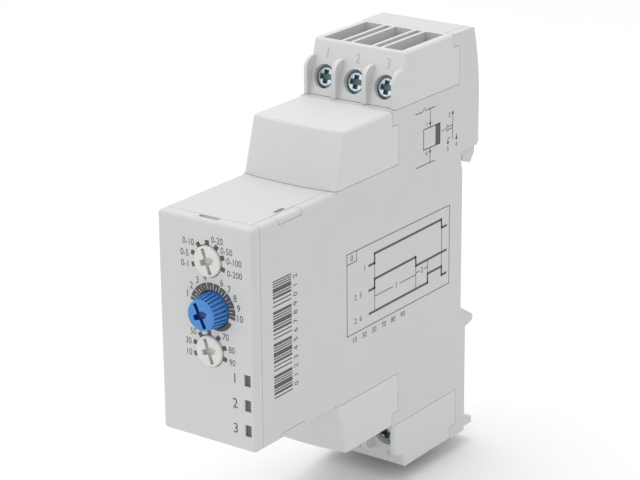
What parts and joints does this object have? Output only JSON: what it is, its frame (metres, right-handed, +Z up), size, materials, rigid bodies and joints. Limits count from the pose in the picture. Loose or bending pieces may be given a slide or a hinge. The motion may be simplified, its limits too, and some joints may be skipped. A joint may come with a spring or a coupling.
{
  "type": "din rail timer",
  "caption": "Slim stepped timer relay for a 35 mm rail, with a time knob, two selectors, status windows, rising-cage screw terminals and a sprung rail clip.",
  "frame": {"origin": "centre of the flat that rests on the front of the rail", "axes": "+Y points at the rail and the wall behind it, +Z is up, X runs across the width along the rail"},
  "size_m": [0.0226, 0.0827, 0.09],
  "materials": {
    "case_plastic": "fine matt grain",
    "panel_plastic": "fine matt grain",
    "step_plastic": "fine matt grain",
    "terminal_plastic": "fine matt grain",
    "window_plastic": "smoked, polished",
    "zinc_steel": "zinc plated",
    "tinned_brass": "bright",
    "blue_plastic": "smooth",
    "white_plastic": "smooth",
    "black_plastic": "smooth",
    "relay_plastic": "smooth",
    "board_laminate": "solder mask",
    "can_aluminium": "drawn can",
    "film_plastic": "smooth",
    "ferrite": "dull",
    "spring_steel": "drawn wire"
  },
  "bodies": {
    "case": {"housing": "case_plastic", "side_cover": "case_plastic", "front_panel": "panel_plastic", "step_cap_upper": "step_plastic", "step_cap_lower": "step_plastic", "terminal_cap_upper": "terminal_plastic", "terminal_cap_lower": "terminal_plastic", "time_potentiometer": "black_plastic", "range_switch": "black_plastic", "mode_switch": "black_plastic", "panel_board": "board_laminate", "main_board": "board_laminate", "relay": "relay_plastic", "reservoir_capacitor": "can_aluminium", "film_capacitor": "film_plastic", "supply_choke": "ferrite", "clip_spring": "spring_steel", "led_window_1": "window_plastic", "led_window_2": "window_plastic", "led_window_3": "window_plastic", "contact_bar_1": "tinned_brass", "contact_bar_2": "tinned_brass", "contact_bar_3": "tinned_brass", "contact_bar_4": "tinned_brass", "contact_bar_5": "tinned_brass", "contact_bar_6": "tinned_brass"},
    "clamp_cage_1": {"clamp_cage_1": "zinc_steel"},
    "clamp_cage_2": {"clamp_cage_2": "zinc_steel"},
    "clamp_cage_3": {"clamp_cage_3": "zinc_steel"},
    "clamp_cage_4": {"clamp_cage_4": "zinc_steel"},
    "clamp_cage_5": {"clamp_cage_5": "zinc_steel"},
    "clamp_cage_6": {"clamp_cage_6": "zinc_steel"},
    "mode_selector": {"mode_selector": "white_plastic"},
    "rail_clip": {"rail_clip": "case_plastic"},
    "range_selector": {"range_selector": "white_plastic"},
    "terminal_screw_1": {"terminal_screw_1": "zinc_steel"},
    "terminal_screw_2": {"terminal_screw_2": "zinc_steel"},
    "terminal_screw_3": {"terminal_screw_3": "zinc_steel"},
    "terminal_screw_4": {"terminal_screw_4": "zinc_steel"},
    "terminal_screw_5": {"terminal_screw_5": "zinc_steel"},
    "terminal_screw_6": {"terminal_screw_6": "zinc_steel"},
    "time_knob": {"time_knob": "blue_plastic"}
  },
  "joints": [
    {"name": "time_knob_turn", "type": "hinge", "parent": "case", "child": "time_knob", "pos_m": [0.0017, -0.0725, 0.0049], "axis": [0, 1, 0], "range_deg": [-169, 66]},
    {"name": "range_selector_turn", "type": "hinge", "parent": "case", "child": "range_selector", "pos_m": [0.00085, -0.0725, 0.0145], "axis": [0, 1, 0], "range_deg": [-180, 36]},
    {"name": "mode_selector_turn", "type": "hinge", "parent": "case", "child": "mode_selector", "pos_m": [0.00085, -0.0725, -0.0036], "axis": [0, 1, 0], "range_deg": [-180, 36]},
    {"name": "screw_1_turn", "type": "hinge", "parent": "case", "child": "terminal_screw_1", "pos_m": [-0.0074, -0.0233, 0.0378], "axis": [0, 0.9537, -0.3007], "range_deg": [0, 1441]},
    {"name": "cage_1_rise", "type": "slide", "parent": "case", "child": "clamp_cage_1", "axis": [0, -0.9537, 0.3007], "range_m": [0, 0.002]},
    {"name": "screw_2_turn", "type": "hinge", "parent": "case", "child": "terminal_screw_2", "pos_m": [0, -0.0233, 0.0378], "axis": [0, 0.9537, -0.3007], "range_deg": [0, 1441]},
    {"name": "cage_2_rise", "type": "slide", "parent": "case", "child": "clamp_cage_2", "axis": [0, -0.9537, 0.3007], "range_m": [0, 0.002]},
    {"name": "screw_3_turn", "type": "hinge", "parent": "case", "child": "terminal_screw_3", "pos_m": [0.0074, -0.0233, 0.0378], "axis": [0, 0.9537, -0.3007], "range_deg": [0, 1441]},
    {"name": "cage_3_rise", "type": "slide", "parent": "case", "child": "clamp_cage_3", "axis": [0, -0.9537, 0.3007], "range_m": [0, 0.002]},
    {"name": "screw_4_turn", "type": "hinge", "parent": "case", "child": "terminal_screw_4", "pos_m": [0.0074, -0.0233, -0.0378], "axis": [0, 0.9537, 0.3007], "range_deg": [0, 1441]},
    {"name": "cage_4_rise", "type": "slide", "parent": "case", "child": "clamp_cage_4", "axis": [0, -0.9537, -0.3007], "range_m": [0, 0.002]},
    {"name": "screw_5_turn", "type": "hinge", "parent": "case", "child": "terminal_screw_5", "pos_m": [0, -0.0233, -0.0378], "axis": [0, 0.9537, 0.3007], "range_deg": [0, 1441]},
    {"name": "cage_5_rise", "type": "slide", "parent": "case", "child": "clamp_cage_5", "axis": [0, -0.9537, -0.3007], "range_m": [0, 0.002]},
    {"name": "screw_6_turn", "type": "hinge", "parent": "case", "child": "terminal_screw_6", "pos_m": [-0.0074, -0.0233, -0.0378], "axis": [0, 0.9537, 0.3007], "range_deg": [0, 1441]},
    {"name": "cage_6_rise", "type": "slide", "parent": "case", "child": "clamp_cage_6", "axis": [0, -0.9537, -0.3007], "range_m": [0, 0.002]},
    {"name": "rail_clip_pull", "type": "slide", "parent": "case", "child": "rail_clip", "axis": [0, 0, -1], "range_m": [0, 0.003], "stiffness_N_per_m": 1500, "springref_m": -0.002, "deforming": ["clip_spring"]}
  ],
  "couplings": [
    {"joint": "screw_1_turn", "follows": "cage_1_rise", "rad_per_m": 12566},
    {"joint": "screw_2_turn", "follows": "cage_2_rise", "rad_per_m": 12566},
    {"joint": "screw_3_turn", "follows": "cage_3_rise", "rad_per_m": 12566},
    {"joint": "screw_4_turn", "follows": "cage_4_rise", "rad_per_m": 12566},
    {"joint": "screw_5_turn", "follows": "cage_5_rise", "rad_per_m": 12566},
    {"joint": "screw_6_turn", "follows": "cage_6_rise", "rad_per_m": 12566}
  ]
}
